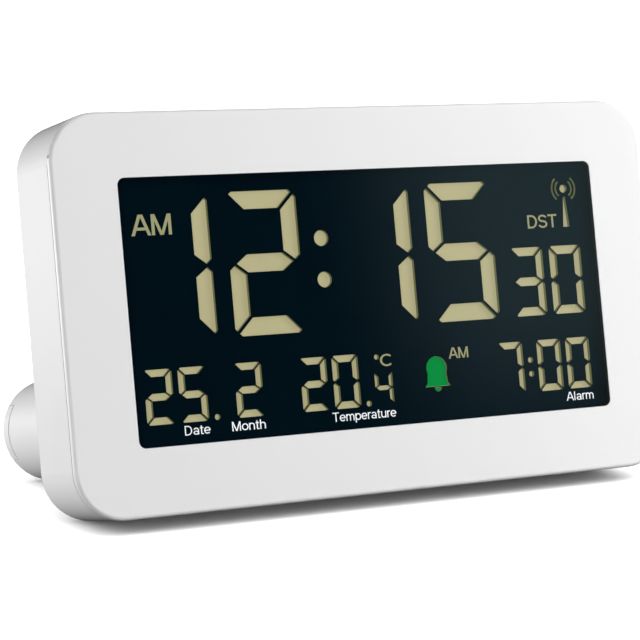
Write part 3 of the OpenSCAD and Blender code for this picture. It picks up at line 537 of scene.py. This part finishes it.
# Lettering over the display mask. A row is a text, its left, right, foot and cap height, in mm
lettering = {
    "thick": 0.03, "above": 0.01,  # its thickness, and its gap to the mask
    "pieces": {
        # the lit words glow by their own emission as painted light
        "displayWords": {  # lit words
            "half": 0.068,  # half a stroke as a share of the cap height
            "finish": "wordPaintedGlow", "slot": "display_glow",
            "rows": [
                ("AM", -51.2, -43.0, 14.85, 4.1),
                ("DST", 38.3, 45.4, 12.4, 2.8),
                ("AM", 16.5, 21.0, -13.5, 2.25),
                ("C", 0.5, 2.9, -14.0, 2.5),
            ],
        },
        # captions printed in white, which also glow a little as painted light
        "displayCaptions": {  # printed in white under the readouts
            "half": 0.053,
            "finish": "printWhiteAndPaintedGlow", "slot": "case_white",
            "rows": [
                ("Date", -43.7, -38.4, -24.3, 1.85),
                ("Month", -33.6, -26.4, -24.3, 1.85),
                ("Temperature", -11.4, 2.9, -24.3, 1.85),
                ("Alarm", 44.1, 50.7, -24.3, 1.85),
            ],
        },
    },
}
wordDepth = face["maskFront"] - lettering["above"]
for name, piece in lettering["pieces"].items():
    shells = []
    for row in piece["rows"]:
        shells += wordShells(*row, piece["half"], wordDepth, lettering["thick"])
    putMesh(name, shells, finishes[piece["finish"]], "case")
print("lettering laid")


# Signs on the back, in strokes about the middle of a square of side 1, for half a stroke h
def iconStrokes(icon, h):
    waves = [bend(0, 0.12, r, r, start, start + 100, h) for r in (0.27, 0.46) for start in (-50, 130)]
    signs = {
        "clock": [bend(0, 0, 0.43, 0.43, 0, 360, h), bar(0, 0, 0, 0.29, h), flatBar(-h, 0.22, 0, h)],
        "bell": [bend(0, 0.13, 0.25, 0.28, 0, 180, h), bar(-0.25, 0.14, -0.32, -0.23, h),
                 flatBar(-0.42, 0.42, -0.27, h), bar(0.25, 0.14, 0.32, -0.23, h),
                 flatBar(-0.1, 0.1, -0.42, h)],
        "plus": [flatBar(-0.38, 0.38, 0, h), bar(0, -0.38, 0, 0.38, h)],
        "minus": [flatBar(-0.38, 0.38, 0, h)],
        "wave": waves + [bend(0, 0.12, 0.05, 0.05, 0, 360, 0.05), bar(0, -0.48, 0, 0.02, h)],
    }
    return signs[icon]


backMarks = {
    "thick": 0.03, "above": 0.01,  # their thickness, and their gap to the back
    "signs": {"clock": -24.0, "bell": -8.0, "plus": 8.0, "minus": 24.0, "wave": 40.0},  # places across
    "signHalf": 0.055, "signSize": 3.6, "signUp": 22.0,
    "words": [("OFF", -32.6, -37.2, 14.8, 2.0), ("ON", -48.0, -51.6, 14.8, 2.0)],  # read from behind
    "wordHalf": 0.085,
}


def markShells():
    depth = face["back"] + backMarks["above"]
    thick = -backMarks["thick"]  # raised backwards
    size = backMarks["signSize"]
    up = backMarks["signUp"] - face["rise"]
    shells = []
    for row in backMarks["words"]:
        shells += wordShells(*row, backMarks["wordHalf"], depth, thick)
    for sign, x in backMarks["signs"].items():
        strokes = iconStrokes(sign, backMarks["signHalf"])
        shells += strokeShells(strokes, lambda u, w: (x - size * u, up + size * w), depth, thick)
    return shells


putMesh("backMarks", markShells(), finishes["inkGrey"], "case")
print("marks laid on the back")


# Black strips in two gaps, in mm, that paint the shade in those gaps: one round the lens, and one between
# bezel and housing that runs from one side down and round to the other, below the snooze bar
stripSection = {"inset": 0.02, "thick": 0.06}
strips = {
    # painted shade in the gap round the lens
    "lensGapShade": {
        "outline": face["window"], "low": 0.0,  # and how far its middle lies below the window's
        "top": None,  # height of its two ends, if it has any
        "depth": (0.16, 0.74), "finish": "gapShadeBlack", "slot": "display_dark",
    },
    # painted shade in the seam between bezel and housing
    "rimGapShade": {
        "outline": face["case"], "low": face["rise"],
        "top": 29.4,
        "depth": (1.17, 1.33), "finish": "rimGapShadeBlack", "slot": "chip_black",
    },
}


# Rounded outline: the middle of each corner's circle plus radius times cosine and sine over a quarter turn
def roundedOutline(width, height, radius, steps=24):
    turn = np.radians(np.concatenate([np.linspace(0, 90, steps) + 90 * k for k in range(4)]))
    outward = np.stack([np.cos(turn), np.sin(turn)], -1)
    side = np.repeat([[1, 1], [-1, 1], [-1, -1], [1, -1]], steps, axis=0)
    return side * np.array([width / 2 - radius, height / 2 - radius]) + radius * outward, outward


# Strip: an upright section carried round the outline, or round its lower half and up to the two ends
def stripShell(outline, low, top, depth):
    path, outward = roundedOutline(*outline)
    if top is not None:
        lower = len(path) // 2
        end = np.array([[outline[0] / 2, top]])
        path = np.concatenate([end * [-1, 1], path[lower:], end])
        outward = np.concatenate([[[-1.0, 0.0]], outward[lower:], [[1.0, 0.0]]])
    outer = -stripSection["inset"]
    inner = outer - stripSection["thick"]
    front, back = depth
    section = np.array([[inner, front], [outer, front], [outer, back], [inner, back]])
    flat, deep, faces = carry(path, outward, section, top is None)
    return fromFace(flat[:, 0], flat[:, 1] - low, deep), faces


for name, strip in strips.items():
    shell = stripShell(strip["outline"], strip["low"], strip["top"], strip["depth"])
    putMesh(name, [shell], finishes[strip["finish"]], "case")
print("strips laid")


# Grip ridges on the battery door: half an ellipse carried along a short upright line, in mm
ridgeLook = {
    "across": (45.0, 47.0, 49.0, 51.0), "up": -20.8,  # places to both sides, and height of their middles
    "length": 9.0, "width": 0.9, "height": 0.4,
    "steps": 9,  # points of the half ellipse
}


def doorRidges():
    turn = np.linspace(0, math.pi, ridgeLook["steps"])
    section = np.stack([ridgeLook["width"] / 2 * np.cos(turn), ridgeLook["height"] * np.sin(turn)], -1)
    outward = np.array([[1.0, 0.0]] * 2)
    low = ridgeLook["up"] - ridgeLook["length"] / 2
    high = ridgeLook["up"] + ridgeLook["length"] / 2
    shells = []
    for x in ridgeLook["across"]:
        for side in (-x, x):
            flat, height, faces = carry(np.array([[side, low], [side, high]]), outward, section, False)
            shells.append((fromFace(flat[:, 0], flat[:, 1], face["doorBack"] + height), faces))
    return shells


putMesh("doorRidges", doorRidges(), finishes["caseWhite"], "door")
print("ridges laid on the door")


# Camera: where the photograph was taken from, relative to the face's centre, and its lens, in mm
view = {
    "from": (-225.0, -413.1, 58.96), "ahead": (0.4529, 0.8814, -0.134),
    "lens": 132.13, "sensor": 36.0, "near": 10.0,
}
camera = bpy.data.objects.new("camera", bpy.data.cameras.new("camera"))
bpy.context.scene.collection.objects.link(camera)
camera.location = Vector(faceCentre) + Vector(view["from"]) * mm
camera.rotation_euler = Vector(view["ahead"]).to_track_quat("-Z", "Y").to_euler()
camera.data.lens = view["lens"]
camera.data.sensor_width = view["sensor"]
camera.data.clip_start = view["near"] * mm
bpy.context.scene.camera = camera

# Pale floor, and light: soft boxes for the clock alone, broad suns for the floor alone, a dim card for the
# lens to mirror, and a white sky. Places in metres
studio = {
    "aim": (0.0, 0.0, 0.045),  # what the boxes point at
    "boxes": {  # place, width and height, power
        "front": ((0.0, -0.8, 0.04), (0.5, 0.12), 0.35),
        "frontLeft": ((-0.55, -0.6, 0.08), (0.3, 0.2), 3.0),
        "right": ((0.6, -0.35, 0.08), (0.3, 0.25), 3.6),
        "rightHigh": ((0.5, -0.4, 0.5), (0.4, 0.3), 3.5),
        "left": ((-0.45, 0.25, 0.06), (0.4, 0.06), 1.2),
        "leftNear": ((-0.25, 0.12, 0.03), (0.2, 0.04), 0.2),
        "rear": ((0.55, 0.75, 0.12), (0.5, 0.3), 4.0),
    },
    "sunSpread": 95.0,  # degrees
    "suns": [  # where each shines from, power
        ((-1.6, -0.6, 1.0), 5.5),
        ((1.6, -0.6, 1.0), 5.5),
        ((0.0, -0.8, 1.0), 2.0),
    ],
    "sky": 1.1, "ambient": 0.01,  # how bright the sky is to the camera, and as a light
}
floorLook = {"half": 80.0, "colour": rgba(0.9, 0.9, 0.9), "lighter": 1.02, "scale": 3.0, "rough": 0.9}
cardLook = {
    "x": (0.2, 0.9), "y": -0.7, "z": (0.0, 0.6),
    "fadeX": (0.34, 0.47), "fadeZ": (0.08, 0.22), "glow": rgba(0.205, 0.3, 0.3055),
}


def softBox(name, at, size, power):
    lamp = bpy.data.lights.new(name, "AREA")
    lamp.shape = "RECTANGLE"
    lamp.size, lamp.size_y = size
    lamp.energy = power
    box = bpy.data.objects.new(name, lamp)
    bpy.context.scene.collection.objects.link(box)
    box.location = at
    box.rotation_euler = (Vector(studio["aim"]) - Vector(at)).to_track_quat("-Z", "Y").to_euler()
    box.light_linking.receiver_collection = clockOnly


def floorSun(origin, power):
    lamp = bpy.data.lights.new("floorSun", "SUN")
    lamp.energy = power
    lamp.angle = math.radians(studio["sunSpread"])
    sun = bpy.data.objects.new("floorSun", lamp)
    bpy.context.scene.collection.objects.link(sun)
    sun.rotation_euler = (-Vector(origin)).to_track_quat("-Z", "Y").to_euler()
    sun.light_linking.receiver_collection = floorOnly


# Flat sheet: corner plus u along one edge and w along the other, on a two by two grid
def stageSheet(name, corner, edgeU, edgeW, look):
    u, w = (k.ravel()[:, None] for k in np.meshgrid([0.0, 1.0], [0.0, 1.0]))
    points = np.array(corner) + u * np.array(edgeU) + w * np.array(edgeW)
    mesh = bpy.data.meshes.new(name)
    mesh.from_pydata(points.tolist(), [], [(0, 1, 3, 2)])
    mesh.materials.append(look)
    sheet = bpy.data.objects.new(name, mesh)
    bpy.context.scene.collection.objects.link(sheet)
    sheet.visible_diffuse = False
    return sheet


def floorPaper():
    made, shader, place = newMaterial("floorPaper", {"Roughness": floorLook["rough"]})
    lighter = shade(floorLook["colour"], floorLook["lighter"])
    place.noise(floorLook["scale"]).mix(floorLook["colour"], lighter).feed(shader, "Base Color")
    return made


# Card that glows more to the right and further up
def glowCard():
    even = {"Roughness": 1.0, "Base Color": rgba(0, 0, 0), "Emission Strength": 1.0}
    made, shader, place = newMaterial("glowCard", even)
    rightward = place.dot((1.0, 0.0, 0.0)).between(*cardLook["fadeX"])
    upward = place.dot((0.0, 0.0, 1.0)).between(*cardLook["fadeZ"])
    (rightward * upward).mix(rgba(0, 0, 0), cardLook["glow"]).feed(shader, "Emission Color")
    return made


half = floorLook["half"]
floor = stageSheet("floor", (-half, -half, 0), (2 * half, 0, 0), (0, 2 * half, 0), floorPaper())
floor.visible_glossy = False
left, right = cardLook["x"]
foot, top = cardLook["z"]
card = stageSheet("card", (left, cardLook["y"], foot), (right - left, 0, 0), (0, 0, top - foot), glowCard())
card.visible_camera = False
card.visible_shadow = False

clockOnly = bpy.data.collections.new("clockOnly")  # all but the lens, which would mirror the boxes
for thing in bpy.context.scene.objects:
    if thing.type == "MESH" and thing not in (floor, card, nodes["display_lens"]):
        clockOnly.objects.link(thing)
floorOnly = bpy.data.collections.new("floorOnly")
floorOnly.objects.link(floor)
for name, values in studio["boxes"].items():
    softBox(name, *values)
for values in studio["suns"]:
    floorSun(*values)

world = bpy.data.worlds.new("studio")
bpy.context.scene.world = world
world.use_nodes = True
backdrop = world.node_tree.nodes["Background"]
backdrop.inputs["Color"].default_value = rgba(1, 1, 1)
seen = Wire(world.node_tree, world.node_tree.nodes.new("ShaderNodeLightPath").outputs["Is Camera Ray"])
(studio["ambient"] + (studio["sky"] - studio["ambient"]) * seen).feed(backdrop, "Strength")
bpy.context.scene.view_settings.view_transform = "Standard"
print("camera and light set")
